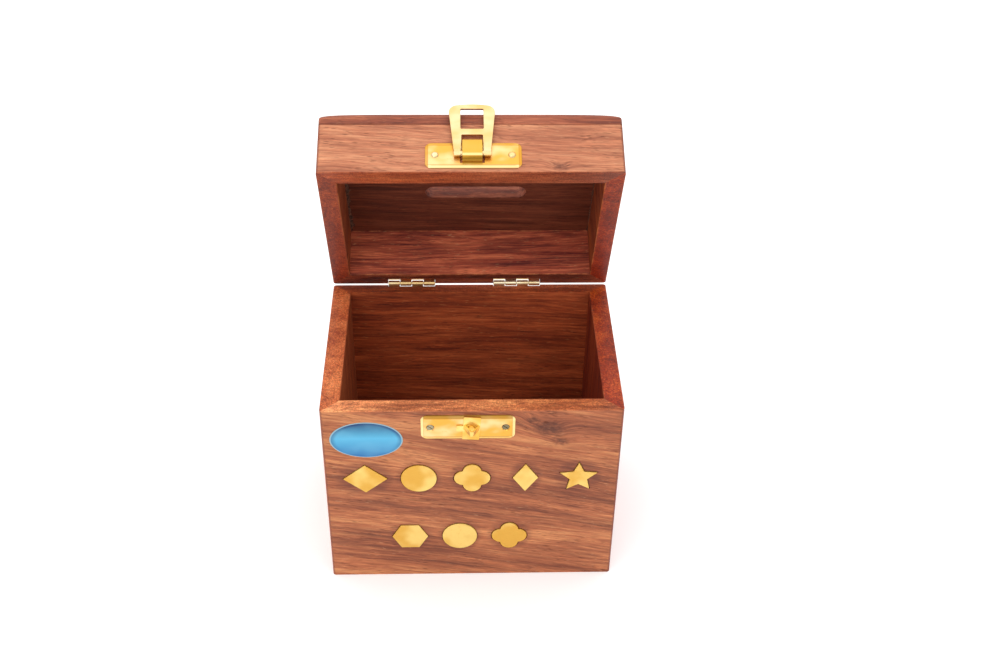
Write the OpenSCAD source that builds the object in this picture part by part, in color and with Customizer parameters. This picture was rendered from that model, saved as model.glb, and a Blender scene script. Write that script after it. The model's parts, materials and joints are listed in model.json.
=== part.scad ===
// Wooden money box: a mitred hardwood box with a flat-topped lid on two butt hinges.
// The lid has a coin slot and a brass hasp; the box has a swivelling brass staple.
// Millimetres. The origin is the centre of the underside, +Z is up, the front faces -Y.
// The lid stands open; every lid piece is drawn closed and then turned about the hinge.

/* [Box] */
// Width of the box across the front
box_w = 140; // [120:1:180]
// Depth of the box from front to back
box_d = 99; // [80:1:130]
// Height of the box up to its rim
box_h = 109; // [90:1:150]
// Thickness of the front board
front_t = 8; // [6:0.5:12]
// Thickness of the back board
back_t = 6.5; // [5.5:0.5:12]
// Thickness of the two end boards
end_t = 9; // [6:0.5:12]
// Rounding of the four upright corners
corner_r = 1.5; // [0.5:0.1:4]
// Thickness of the bottom board
bottom_t = 4; // [3:0.5:8]
// Width of the rebate that the bottom board sits in
rebate_w = 4; // [2:0.5:5]

/* [Lid] */
// Height of the lid's four rails
rail_h = 26.5; // [20:0.1:40]
// Thickness of the lid's rails
rail_t = 8.8; // [7:0.1:11]
// Thickness of the top board
top_t = 8; // [6:0.5:12]
// Radius rolled on to the top board's upper edges
top_edge_r = 4.5; // [1:0.5:5]
// How far the lid stands open, from closed
lid_open = 65.8; // [0:0.1:180]
// Gap between the rims when the lid is closed
rim_gap = 0.3; // [0.3:0.1:1]
// Length of the coin slot
slot_l = 50; // [30:1:60]
// Width of the coin slot
slot_w = 10; // [6:0.5:14]
// Distance of the slot's middle from the lid's front face
slot_from_front = 55.3; // [40:0.1:60]
// Offset of the slot to the right of the middle
slot_x = 2.8; // [-8:0.1:8]

/* [Hinges] */
// Length of each hinge
hinge_l = 24; // [16:1:30]
// Distance from the box's left side to the left hinge
hinge_left_in = 28; // [15:0.5:32]
// Distance from the box's right side to the right hinge
hinge_right_in = 34; // [15:0.5:35]
// Height of each leaf above or below the pin
leaf_w = 10; // [8:0.5:14]
// Thickness of the leaf metal
leaf_t = 0.9; // [0.6:0.1:1.2]
// Outer radius of the knuckles
knuckle_r = 1.4; // [1.3:0.1:1.8]
// Radius of the hinge pins
hinge_pin_r = 0.7; // [0.5:0.05:0.8]
// Distance between a leaf's two screws
hinge_screw_gap = 12; // [8:0.5:14]

/* [Screws] */
// Radius of the screw shanks
shank_r = 1.1; // [0.8:0.1:1.3]
// Radius of the countersunk heads
head_r = 2; // [1.8:0.1:2.4]
// Depth of the shanks in the wood
shank_l = 5; // [3:0.5:5]
// Width of the drive slots
drive_w = 0.5; // [0.4:0.1:0.8]

/* [Hasp and staple] */
// Length of the plate on the lid
lid_plate_l = 44.8; // [40:0.2:56]
// Height of the plate on the lid
lid_plate_h = 14; // [13:0.2:16]
// Height of the lid plate's lower edge above the lid's rim
lid_plate_up = 2; // [1:0.5:5]
// Offset of the lid plate to the right of the middle
lid_plate_x = 1; // [-5:0.1:5]
// Length of the plate on the box
box_plate_l = 44.5; // [40:0.5:56]
// Height of the plate on the box
box_plate_h = 14.2; // [13:0.2:16]
// Distance of the box plate's upper edge below the rim
box_plate_down = 2.6; // [1:0.2:5]
// Offset of the box plate to the right of the middle
box_plate_x = -2; // [-5:0.1:5]
// Thickness of both plates
plate_t = 0.8; // [0.6:0.1:1]
// Corner radius of both plates
plate_r = 2.2; // [1:0.1:4]
// Distance between the two screws or pins in each plate
plate_hole_gap = 35; // [30:0.5:38]
// Offset of the hasp to the right of the middle
hasp_x = 0.5; // [-3:0.1:3]
// Width of the hasp at its pivot
hasp_foot_w = 16.8; // [15:0.2:18]
// Width of the hasp at its free end
hasp_end_w = 21.3; // [19:0.1:24]
// Length of the hasp from its pivot
hasp_l = 27.4; // [26:0.2:29]
// Thickness of the hasp metal
hasp_t = 1.2; // [1:0.1:1.4]
// Width of the hasp's window
window_w = 10.6; // [10:0.1:13]
// Length of the hasp's window
window_l = 11.3; // [11:0.1:12]
// Length of the bar between the hasp's two openings
cross_bar = 3.3; // [2:0.1:4]
// Radius of the bar that the hasp turns on
pivot_r = 1.4; // [1.2:0.1:1.5]
// Width of the strap that holds the hasp's bar
bridge_w = 9; // [8:0.1:10]
// Width of the swivelling staple
staple_w = 8; // [6:0.1:8.4]
// Height of the swivelling staple's foot
staple_h = 13.4; // [10:0.1:13.6]
// Thickness of the staple metal
staple_t = 0.7; // [0.5:0.1:0.7]
// How far the staple's eye stands out from its foot
eye_out = 5; // [4:0.1:7]
// Height of the eye's band
eye_h = 2.6; // [2.5:0.1:5]
// How far the staple is turned out of true
staple_turn = 4; // [-90:1:90]

/* [Trim] */
// Size of the brass inlays in the upper row, across
inlay_w = 17; // [14:0.5:19]
// Height of every inlay
inlay_h = 17.6; // [14:0.2:20]
// Thickness of the brass inlays
inlay_t = 1.4; // [1:0.1:2]
// How far the inlays stand out of the front
inlay_proud = 0.5; // [0:0.1:0.7]
// Gap round each inlay in its pocket
inlay_gap = 0.35; // [0.1:0.05:0.6]
// Height of the upper row's middle
row_top_z = 66.8; // [60:0.2:70]
// Height of the lower row's middle
row_low_z = 27.5; // [20:0.5:35]
// Pitch of the inlays in the upper row
row_top_pitch = 25.4; // [24:0.2:26]
// Pitch of the inlays in the lower row
row_low_pitch = 24.4; // [22:0.2:26]
// Length of the oval label
label_l = 34; // [24:1:36]
// Height of the oval label
label_h = 21.6; // [15:0.2:22]
// Thickness of the label
label_t = 0.25; // [0.2:0.05:0.4]
// Distance of the label's middle from the box's left side
label_in = 20.7; // [20:0.1:26]
// Distance of the label's middle below the rim
label_down = 17.5; // [13:0.1:20]

/* [Hidden] */
$fn = 64;
eps = 0.01;
fit = 0.05;              // running clearance on a radius
knuckle_count = 4;
knuckle_gap = 0.15;      // between neighbouring knuckles
swing_gap = 0.3;         // between a knuckle and the wood or leaf of the other half
front_y = -box_d / 2;
back_y = box_d / 2;
pin_y = back_y + knuckle_r - leaf_t;             // the leaves lie flush in the back faces
notch_deep = 5;                                  // lid's notch at its rim, from the back face
pin_up = 0.6;                                    // pin above the middle of the joint
pin_z = box_h + rim_gap / 2 + pin_up;
clear = knuckle_r + swing_gap;                   // from the pin
lid_z = box_h + rim_gap;                         // lid's rim when closed
lid_h = rail_h + top_t;
hinge_left_x = -box_w / 2 + hinge_left_in + hinge_l / 2;
hinge_right_x = box_w / 2 - hinge_right_in - hinge_l / 2;
head_h = head_r - shank_r;                       // 90 degree countersink
drive_depth = 0.3;
leaf_screw_z = (leaf_w + clear) / 2;             // from the pin
lid_plate_z = lid_z + lid_plate_up + lid_plate_h / 2;
box_plate_z = box_h - box_plate_down - box_plate_h / 2;
pivot_out = plate_t + 0.25 + pivot_r;            // pivot's distance in front of the wood
pivot_drop = 0.5;                                // pivot below the middle of its plate
pivot_z = lid_plate_z - pivot_drop;
bridge_out_r = pivot_r + 0.1 + plate_t;          // strap bent 0.1 clear of the bar
bridge_up = lid_plate_h / 2 + pivot_drop - 0.5;  // strap's upper root, from the pivot
bridge_down = lid_plate_h / 2 - pivot_drop - 1.5;   // strap's lower root, from the pivot
notch_w = 1.1;                                   // notches beside the strap's lower half
notch_h = 3.8;
root = 0.1;                                      // how deep a band's root sinks in its plate
leg_gap = 0.4;                                   // between the strap and the hasp's legs
window_end = hasp_l - 2.6;                       // far end of the hasp's window
staple_x = box_plate_x + 1.6;
rivet_r = 1;
rivet_head_r = 1.9;
rivet_head_t = 0.6;
rivet_tail = 1;                                  // peened end behind the plate
rivet_pocket = 1.2;
foot_out = plate_t + staple_t;                   // outer face of the staple's foot
eye_r = 1.2;                                     // outer radius of the eye's nose
eye_lift = 0.8;                                  // middle of the eye above the rivet
eye_c = foot_out + eye_out - eye_r;              // nose centre's distance from the wood
eye_t = 0.9;
pocket_t = inlay_t - inlay_proud;

// ---- outlines ----

// Rectangle with round corners, centred
module round_rect(l, h, r) {
    square([l - 2 * r, h], center = true);
    square([l, h - 2 * r], center = true);
    for (sx = [-1, 1], sy = [-1, 1])
        translate([sx * (l / 2 - r), sy * (h / 2 - r)]) circle(r);
}

// Puts a shape drawn in X and Z on the front face, rising t outwards from depth y
module on_front(y, t) {
    translate([0, y, 0]) rotate([90, 0, 0]) linear_extrude(t) children();
}

// Point where a line from p touches a circle of radius r about c
function touch(p, c, r, side) =
    let (d = norm(c - p), a = atan2(p[1] - c[1], p[0] - c[0]) + side * acos(r / d))
    c + r * [cos(a), sin(a)];

// Arch from [-a, 0] to [b, 0] drawn tight over a circle at [0, h]
module arch(a, b, h, r) {
    left = [-a, 0];
    right = [b, 0];
    c = [0, h];
    translate(c) circle(r);
    polygon([left, touch(left, c, r, -1), c, touch(right, c, r, 1), right]);
}

// Band bent over a circle: outer arch less inner arch
module bent_band(a, b, h, r, t) {
    difference() {
        arch(a, b, h, r);
        translate([0, -eps]) arch(a - t, b - t, h + eps, r - t);
    }
}

// Right-hand unit normal of the line from a to b
function normal(a, b) = [b[1] - a[1], a[0] - b[0]] / norm(b - a);

// Path p moved t to its right
function inset(p, t) = [for (i = [0:len(p) - 1])
    let (a = normal(p[max(i - 1, 0)], p[max(i, 1)]),
         b = normal(p[min(i, len(p) - 2)], p[min(i + 1, len(p) - 1)]))
    p[i] + t * (a + b) / (1 + a * b)];

// Box-shaped strap from [-a, 0] over the height h to [b, 0], with a flared root at the left
module strap_band(a, b, h, t) {
    path = [[-a - 0.5, -0.1], [-a, 0.35], [-a + 0.35, 0.9], [-a + 0.4, 0.5 * h],
        [-a + 1, 0.75 * h], [-a + 2.3, 0.93 * h], [-0.8, h], [1.5, h],
        [b - 1.6, 0.95 * h], [b - 0.6, 0.82 * h], [b, 0.55 * h], [b, -0.1]];
    difference() {
        polygon(path);
        translate([0, -eps]) polygon(inset(path, t));
    }
}

// ---- countersunk screws, the head's face at y = 0 and the shank along +Y ----

module screw_body(gap = 0) {
    rotate([-90, 0, 0]) {
        cylinder(h = shank_l, r = shank_r + gap);
        cylinder(h = head_h, r1 = head_r + gap, r2 = shank_r + gap);
    }
}

module screw() {
    difference() {
        screw_body();
        rotate([0, 35, 0]) cube([2 * head_r + 1, 2 * drive_depth, drive_w], center = true);
    }
}

// Children at both holes of a plate centred at x
module at_plate_holes(x, z) {
    for (s = [-1, 1]) translate([x + s * plate_hole_gap / 2, 0, z]) children();
}

// Children at the screws of both hinges, up = 1 for the lid leaf and -1 for the box leaf
module at_hinge_screws(up) {
    for (x = [hinge_left_x, hinge_right_x], s = [-1, 1])
        translate([x + s * hinge_screw_gap / 2, back_y, pin_z + up * leaf_screw_z])
            rotate([0, 0, 180]) children();
}

// Room in the back boards for the recessed leaves and their knuckles, section in Y and Z
module hinge_recess(section) {
    for (x = [hinge_left_x, hinge_right_x])
        translate([x - hinge_l / 2 - fit, 0, 0]) rotate([90, 0, 90])
            linear_extrude(hinge_l + 2 * fit) polygon(section);
}

// ---- box ----

// Prism with the box's outline and its rounded corners
module outline_prism(z, h) {
    translate([0, 0, z]) linear_extrude(h) round_rect(box_w, box_d, corner_r);
}

// Mitred frame boards: trapezoids from the outer corners to the inner ones
module mitred_end(side, t, t_front, t_back, z, h) {
    x = side * box_w / 2;
    intersection() {
        outline_prism(z, h);
        translate([0, 0, z]) linear_extrude(h) polygon([
            [x, front_y], [x - side * t, front_y + t_front],
            [x - side * t, back_y - t_back], [x, back_y]]);
    }
}

module mitred_front(side, t, t_end, z, h) {
    y = side * box_d / 2;
    intersection() {
        outline_prism(z, h);
        translate([0, 0, z]) linear_extrude(h) polygon([
            [-box_w / 2, y], [box_w / 2, y],
            [box_w / 2 - t_end, y - side * t], [-box_w / 2 + t_end, y - side * t]]);
    }
}

// Block that the bottom board fills, cut from the inner lower edges of the four boards
module bottom_block() {
    x0 = -box_w / 2 + end_t - rebate_w;
    y0 = front_y + front_t - rebate_w;
    y1 = back_y - back_t + rebate_w;
    translate([x0, y0, 0]) cube([-2 * x0, y1 - y0, bottom_t]);
}

module front_panel() color("sienna") difference() {
    mitred_front(-1, front_t, end_t, 0, box_h);
    bottom_block();
    for (i = [0:7]) on_front(front_y + pocket_t, inlay_t + 1) inlay_outline(i, inlay_gap);
    translate([0, front_y - plate_t, 0]) at_plate_holes(box_plate_x, box_plate_z) screw_body(fit);
    translate([staple_x, front_y - 1, box_plate_z]) rotate([-90, 0, 0])
        cylinder(h = 1 + rivet_pocket, r = rivet_head_r + 0.2);
}

module back_panel() color("sienna") difference() {
    mitred_front(1, back_t, end_t, 0, box_h);
    bottom_block();
    at_hinge_screws(-1) screw_body(fit);
    hinge_recess([
        [back_y - leaf_t, pin_z - leaf_w], [back_y - leaf_t, pin_z - clear],
        [back_y - leaf_t - swing_gap, pin_z - clear], [back_y - leaf_t - swing_gap, box_h + 1],
        [back_y + 1, box_h + 1], [back_y + 1, pin_z - leaf_w]]);
}

module left_panel() color("sienna") difference() {
    mitred_end(-1, end_t, front_t, back_t, 0, box_h);
    bottom_block();
}

module right_panel() color("sienna") difference() {
    mitred_end(1, end_t, front_t, back_t, 0, box_h);
    bottom_block();
}

module bottom_panel() color("peru") bottom_block();

// ---- staple and its plate ----

module staple_plate() color("gold") difference() {
    on_front(front_y, plate_t) translate([box_plate_x, box_plate_z])
        round_rect(box_plate_l, box_plate_h, plate_r);
    translate([0, front_y - plate_t, 0]) at_plate_holes(box_plate_x, box_plate_z) screw_body(fit);
    translate([staple_x, front_y, box_plate_z]) rotate([90, 0, 0])
        translate([0, 0, -1]) cylinder(h = plate_t + 2, r = rivet_r + fit);
}

module staple_plate_screws() color("silver")
    translate([0, front_y - plate_t, 0]) at_plate_holes(box_plate_x, box_plate_z) screw();

// Foot, ear and eye in one bent strip, turning on the rivet
module staple() color("gold")
    translate([staple_x, front_y, box_plate_z]) rotate([0, staple_turn, 0]) {
        difference() {
            union() {
                on_front(-plate_t - fit, staple_t - fit) {
                    square([staple_w, staple_h], center = true);
                    translate([-staple_w / 2 - 1, -0.4]) square([4, 3.6], center = true);
                }
                translate([0, 0, eye_lift - eye_h / 2]) linear_extrude(eye_h) rotate(180)
                    translate([0, foot_out - root])
                        bent_band(staple_w / 2, staple_w / 2, eye_c - foot_out + root, eye_r, eye_t);
            }
            rotate([90, 0, 0]) cylinder(h = foot_out + 1, r = rivet_r + fit);
        }
    }

// Peened rivet: head in the eye, shank through foot and plate, tail let into the wood
module staple_rivet() color("gold")
    translate([staple_x, front_y, box_plate_z]) rotate([90, 0, 0]) {
        translate([0, 0, foot_out + fit]) cylinder(h = rivet_head_t, r = rivet_head_r);
        translate([0, 0, -rivet_tail]) cylinder(h = foot_out + fit + rivet_tail + 0.1, r = rivet_r);
        translate([0, 0, -rivet_tail]) cylinder(h = rivet_tail - 0.1, r = rivet_head_r);
    }

// ---- inlays and label ----

// Middle of inlay i: 0 to 4 are the upper row, 5 to 7 the lower one
function inlay_pos(i) = i < 5
    ? [(i - 2) * row_top_pitch, row_top_z]
    : [(i - 6) * row_low_pitch - 6, row_low_z];

// Star of n points with the outer radius r and the inner radius q
module star(n, r, q) {
    polygon([for (k = [0:2 * n - 1])
        (k % 2 == 0 ? r : q) * [sin(180 * k / n), cos(180 * k / n)]]);
}

// Generic shapes: lozenge, coin, flower, tall lozenge, star, hexagon, coin, flower
module inlay_outline(i, g = 0) {
    h = inlay_h / 2 + g;
    w = inlay_w / 2 + g;
    translate(inlay_pos(i)) {
        if (i == 0) polygon([[-w - 2, 0], [0, h], [w + 2, 0], [0, -h]]);
        if (i == 1 || i == 6) circle(h - 0.3);
        if (i == 2 || i == 7) {
            for (a = [0:90:270]) rotate(a) translate([h * 0.48, 0]) circle(h * 0.5 + g / 2);
            square(h * 0.96, center = true);
        }
        if (i == 3) polygon([[-w + 2.4, 0], [0, h], [w - 2.4, 0], [0, -h]]);
        if (i == 4) star(5, h + 0.6 + g, h * 0.5 + g);
        if (i == 5) polygon([for (a = [0:60:300]) h * [cos(a), sin(a)]]);
    }
}

module inlay(i) color("khaki") on_front(front_y + pocket_t, inlay_t) inlay_outline(i);

module label() color("dodgerblue") on_front(front_y, label_t)
    translate([-box_w / 2 + label_in, box_h - label_down])
        polygon([for (a = [0:5:355]) [label_l / 2 * cos(a), label_h / 2 * sin(a)]]);

module inlay_top_1() inlay(0);
module inlay_top_2() inlay(1);
module inlay_top_3() inlay(2);
module inlay_top_4() inlay(3);
module inlay_top_5() inlay(4);
module inlay_low_1() inlay(5);
module inlay_low_2() inlay(6);
module inlay_low_3() inlay(7);

// ---- lid, drawn closed ----

// Turns a closed lid piece to where the open lid stands
module opened() {
    translate([0, pin_y, pin_z]) rotate([-lid_open, 0, 0])
        translate([0, -pin_y, -pin_z]) children();
}

module lid_front_rail() color("sienna") opened() difference() {
    mitred_front(-1, rail_t, rail_t, lid_z, rail_h);
    translate([0, front_y - plate_t, 0]) at_plate_holes(lid_plate_x, lid_plate_z)
        rotate([-90, 0, 0]) cylinder(h = shank_l, r = shank_r + fit);
}

module lid_back_rail() color("sienna") opened() difference() {
    mitred_front(1, rail_t, rail_t, lid_z, rail_h);
    at_hinge_screws(1) screw_body(fit);
    hinge_recess([
        [back_y - leaf_t, pin_z + leaf_w], [back_y - leaf_t, pin_z + clear],
        [back_y - leaf_t - swing_gap, pin_z + clear], [back_y - notch_deep, lid_z],
        [back_y - notch_deep, lid_z - 1], [back_y + 1, lid_z - 1], [back_y + 1, pin_z + leaf_w]]);
}

module lid_left_rail() color("sienna") opened()
    mitred_end(-1, rail_t, rail_t, rail_t, lid_z, rail_h);

module lid_right_rail() color("sienna") opened()
    mitred_end(1, rail_t, rail_t, rail_t, lid_z, rail_h);

// Section of the top board: flat below, upper corners rounded
module rolled_section(l) {
    translate([-l / 2, 0]) square([l, top_t - top_edge_r]);
    translate([-l / 2 + top_edge_r, 0]) square([l - 2 * top_edge_r, top_t]);
    for (s = [-1, 1]) translate([s * (l / 2 - top_edge_r), top_t - top_edge_r]) circle(top_edge_r);
}

module lid_top_board() color("sienna") opened() translate([0, 0, lid_z + rail_h]) {
    difference() {
        intersection() {
            outline_prism(0, top_t);
            rotate([90, 0, 0]) translate([0, 0, -back_y]) linear_extrude(box_d) rolled_section(box_w);
            rotate([90, 0, 90]) translate([0, 0, -box_w / 2]) linear_extrude(box_w)
                rolled_section(box_d);
        }
        translate([slot_x, front_y + slot_from_front, -1]) linear_extrude(top_t + 2) {
            square([slot_l - slot_w, slot_w], center = true);
            for (s = [-1, 1]) translate([s * (slot_l - slot_w) / 2, 0]) circle(slot_w / 2);
        }
    }
}

// Plate with a strap bent out of it over the hasp's bar
module hasp_plate() color("gold") opened() {
    difference() {
        on_front(front_y, plate_t) translate([lid_plate_x, lid_plate_z])
            round_rect(lid_plate_l, lid_plate_h, plate_r);
        translate([0, front_y - plate_t - 1, 0]) at_plate_holes(lid_plate_x, lid_plate_z)
            rotate([-90, 0, 0]) cylinder(h = plate_t + 2, r = shank_r + fit);
        for (s = [-1, 1])
            translate([hasp_x + s * (bridge_w + notch_w) / 2, front_y, pivot_z - bridge_down + 2.5])
                cube([notch_w, 3, notch_h], center = true);
    }
    translate([hasp_x, front_y - plate_t + root, pivot_z]) mirror([0, 1, 0]) rotate([0, -90, 0])
        translate([0, 0, -bridge_w / 2]) linear_extrude(bridge_w)
            strap_band(bridge_down, bridge_up, pivot_out - plate_t + root + bridge_out_r, plate_t);
}

// Domed pins: shank in the front rail and a low round head on the plate
module hasp_plate_pins() color("lightyellow") opened()
    translate([0, front_y - plate_t, 0]) at_plate_holes(lid_plate_x, lid_plate_z) {
        rotate([-90, 0, 0]) cylinder(h = shank_l, r = shank_r);
        intersection() {
            translate([0, 1.3, 0]) sphere(2.2);
            rotate([90, 0, 0]) cylinder(h = 3, r = head_r);
        }
    }

// Hasp: flat frame with a window, its feet folded on to a round bar under the strap
module hasp() color("khaki") opened() translate([hasp_x, front_y - pivot_out, pivot_z]) {
    end_r = 4;
    leg_l = window_end - window_l - cross_bar;   // from the pivot to the cross bar
    difference() {
        on_front(hasp_t / 2, hasp_t) {
            polygon([
                [-hasp_foot_w / 2, 0], [hasp_foot_w / 2, 0],
                [hasp_end_w / 2, hasp_l - end_r], [hasp_end_w / 2 - end_r, hasp_l],
                [-hasp_end_w / 2 + end_r, hasp_l], [-hasp_end_w / 2, hasp_l - end_r]]);
            for (s = [-1, 1])
                translate([s * (hasp_end_w / 2 - end_r), hasp_l - end_r]) circle(end_r);
        }
        translate([-window_w / 2, -5, window_end - window_l]) cube([window_w, 10, window_l]);
        translate([-bridge_w / 2 - leg_gap, -5, -1]) cube([bridge_w + 2 * leg_gap, 10, leg_l + 1]);
    }
    rotate([0, 90, 0]) cylinder(h = hasp_foot_w, r = pivot_r, center = true);
    foot_w = (hasp_foot_w - bridge_w) / 2 - leg_gap;
    on_front(-0.5, pivot_r - 0.5) for (s = [-1, 1])
        translate([s * (hasp_foot_w - foot_w) / 2, 0.7]) square([foot_w, 2.8], center = true);
}

// ---- hinges ----

// One leaf at x, up = 1 for the lid and -1 for the box, with every second knuckle
module leaf(x, up) color("gold") difference() {
    step = hinge_l / knuckle_count;
    first = up > 0 ? 1 : 0;
    union() {
        translate([x - hinge_l / 2, back_y - leaf_t, up > 0 ? pin_z + clear : pin_z - leaf_w])
            cube([hinge_l, leaf_t, leaf_w - clear]);
        for (k = [first:2:knuckle_count - 1])
            translate([x - hinge_l / 2 + k * step + knuckle_gap, 0, 0]) {
                translate([0, pin_y, pin_z]) rotate([0, 90, 0])
                    cylinder(h = step - 2 * knuckle_gap, r = knuckle_r);
                translate([0, pin_y - knuckle_r, up > 0 ? pin_z : pin_z - clear])
                    cube([step - 2 * knuckle_gap, leaf_t, clear]);
            }
    }
    translate([x, pin_y, pin_z]) rotate([0, 90, 0])
        cylinder(h = hinge_l + 2, r = hinge_pin_r + fit, center = true);
    at_hinge_screws(up) screw_body(fit);
}

module hinge_pin(x) color("goldenrod") translate([x, pin_y, pin_z]) rotate([0, 90, 0])
    cylinder(h = hinge_l, r = hinge_pin_r, center = true);

module left_hinge_box_leaf() leaf(hinge_left_x, -1);
module left_hinge_lid_leaf() opened() leaf(hinge_left_x, 1);
module left_hinge_pin() hinge_pin(hinge_left_x);
module right_hinge_box_leaf() leaf(hinge_right_x, -1);
module right_hinge_lid_leaf() opened() leaf(hinge_right_x, 1);
module right_hinge_pin() hinge_pin(hinge_right_x);
module hinge_box_screws() color("goldenrod") at_hinge_screws(-1) screw();
module hinge_lid_screws() color("goldenrod") opened() at_hinge_screws(1) screw();

front_panel();
back_panel();
left_panel();
right_panel();
bottom_panel();
staple_plate();
staple_plate_screws();
staple();
staple_rivet();
inlay_top_1();
inlay_top_2();
inlay_top_3();
inlay_top_4();
inlay_top_5();
inlay_low_1();
inlay_low_2();
inlay_low_3();
label();
lid_front_rail();
lid_back_rail();
lid_left_rail();
lid_right_rail();
lid_top_board();
hasp_plate();
hasp_plate_pins();
hasp();
left_hinge_box_leaf();
left_hinge_lid_leaf();
left_hinge_pin();
right_hinge_box_leaf();
right_hinge_lid_leaf();
right_hinge_pin();
hinge_box_screws();
hinge_lid_screws();
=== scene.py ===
import json
import math
import random
import bmesh
import bpy
from mathutils import Matrix, Vector, noise


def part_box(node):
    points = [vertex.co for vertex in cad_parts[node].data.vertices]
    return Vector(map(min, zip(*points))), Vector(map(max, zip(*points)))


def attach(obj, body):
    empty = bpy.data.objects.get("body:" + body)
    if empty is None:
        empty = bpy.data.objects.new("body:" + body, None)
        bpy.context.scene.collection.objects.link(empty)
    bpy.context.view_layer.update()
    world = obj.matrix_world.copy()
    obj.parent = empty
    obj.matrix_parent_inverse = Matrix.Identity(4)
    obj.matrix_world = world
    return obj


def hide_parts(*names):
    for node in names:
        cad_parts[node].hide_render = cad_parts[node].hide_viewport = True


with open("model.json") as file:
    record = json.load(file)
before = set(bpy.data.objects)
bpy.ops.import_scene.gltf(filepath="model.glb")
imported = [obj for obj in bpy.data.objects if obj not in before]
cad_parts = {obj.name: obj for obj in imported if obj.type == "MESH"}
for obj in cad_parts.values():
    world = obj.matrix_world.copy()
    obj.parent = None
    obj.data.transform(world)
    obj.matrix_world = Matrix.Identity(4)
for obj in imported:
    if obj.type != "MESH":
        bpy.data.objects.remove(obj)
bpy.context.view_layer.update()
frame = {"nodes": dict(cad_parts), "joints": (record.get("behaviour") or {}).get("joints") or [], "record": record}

mm = 0.001
scene = bpy.context.scene
print("frame loaded:", len(frame["nodes"]), "nodes")

cameraSetup = {
    "place": (-6.85, -511.0, 510.3),  # mm from the middle of the underside
    "pitch": 37.68,                   # degrees down
    "yaw": 2.33,
    "roll": 1.126,
    "lens": 48.05,                    # on a 36 mm wide sensor
}


def makeCamera(setup):
    pitch, yaw, roll = (math.radians(setup[k]) for k in ("pitch", "yaw", "roll"))
    level = Matrix(((1, 0, 0), (0, math.sin(pitch), math.cos(pitch)),
                    (0, -math.cos(pitch), math.sin(pitch))))  # rows: right, up, back
    tilt = Matrix(((math.cos(roll), math.sin(roll), 0), (-math.sin(roll), math.cos(roll), 0),
                   (0, 0, 1)))
    turn = Matrix(((math.cos(yaw), -math.sin(yaw), 0), (math.sin(yaw), math.cos(yaw), 0),
                   (0, 0, 1)))
    axes = tilt @ level @ turn
    data = bpy.data.cameras.new("camera")
    data.lens = setup["lens"]
    data.sensor_width = 36
    data.clip_start = 0.01
    camera = bpy.data.objects.new("camera", data)
    scene.collection.objects.link(camera)
    camera.matrix_world = Matrix.Translation(Vector(setup["place"]) * mm) @ axes.transposed().to_4x4()
    scene.camera = camera


makeCamera(cameraSetup)

joints = {joint["name"]: joint for joint in frame["joints"]}
lidPin = Vector(joints["lid_hinge"]["pos_m"])
lidAngle = math.radians(-joints["lid_hinge"]["range_deg"][0])
lidTurn = (Matrix.Translation(lidPin) @ Matrix.Rotation(-lidAngle, 4, "X")
           @ Matrix.Translation(-lidPin))  # closed lid to open lid
nodeBody = {n: b for b, names in frame["record"]["behaviour"]["bodies"].items() for n in names}


def turnOf(node):
    return lidTurn if nodeBody[node] in ("lid", "hasp") else Matrix.Identity(4)


def shutBox(node):  # a node's corners with the lid closed
    back = turnOf(node).inverted()
    places = [back @ v.co for v in frame["nodes"][node].data.vertices]
    low = Vector([min(p[i] for p in places) for i in range(3)])
    high = Vector([max(p[i] for p in places) for i in range(3)])
    return low, high


boxLow = Vector((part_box("left_panel")[0].x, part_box("front_panel")[0].y, 0))
boxHigh = Vector((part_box("right_panel")[1].x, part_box("back_panel")[1].y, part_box("left_panel")[1].z))
frontY = boxLow.y
pivotShut = lidTurn.inverted() @ Vector(joints["hasp_hinge"]["pos_m"])

# x right, y up, z out of the front; and a board's x along its grain
frontFrame = Matrix(((1, 0, 0, 0), (0, 0, -1, frontY), (0, 1, 0, 0), (0, 0, 0, 1)))
grainFrames = {
    "front": Matrix(((1, 0, 0), (0, 0, -1), (0, 1, 0))),
    "back": Matrix(((-1, 0, 0), (0, 0, 1), (0, 1, 0))),
    "left": Matrix(((0, 0, -1), (0, 1, 0), (1, 0, 0))),
    "right": Matrix(((0, 0, 1), (0, -1, 0), (1, 0, 0))),
    "top": Matrix(((1, 0, 0), (0, 1, 0), (0, 0, 1))),
}


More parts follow.
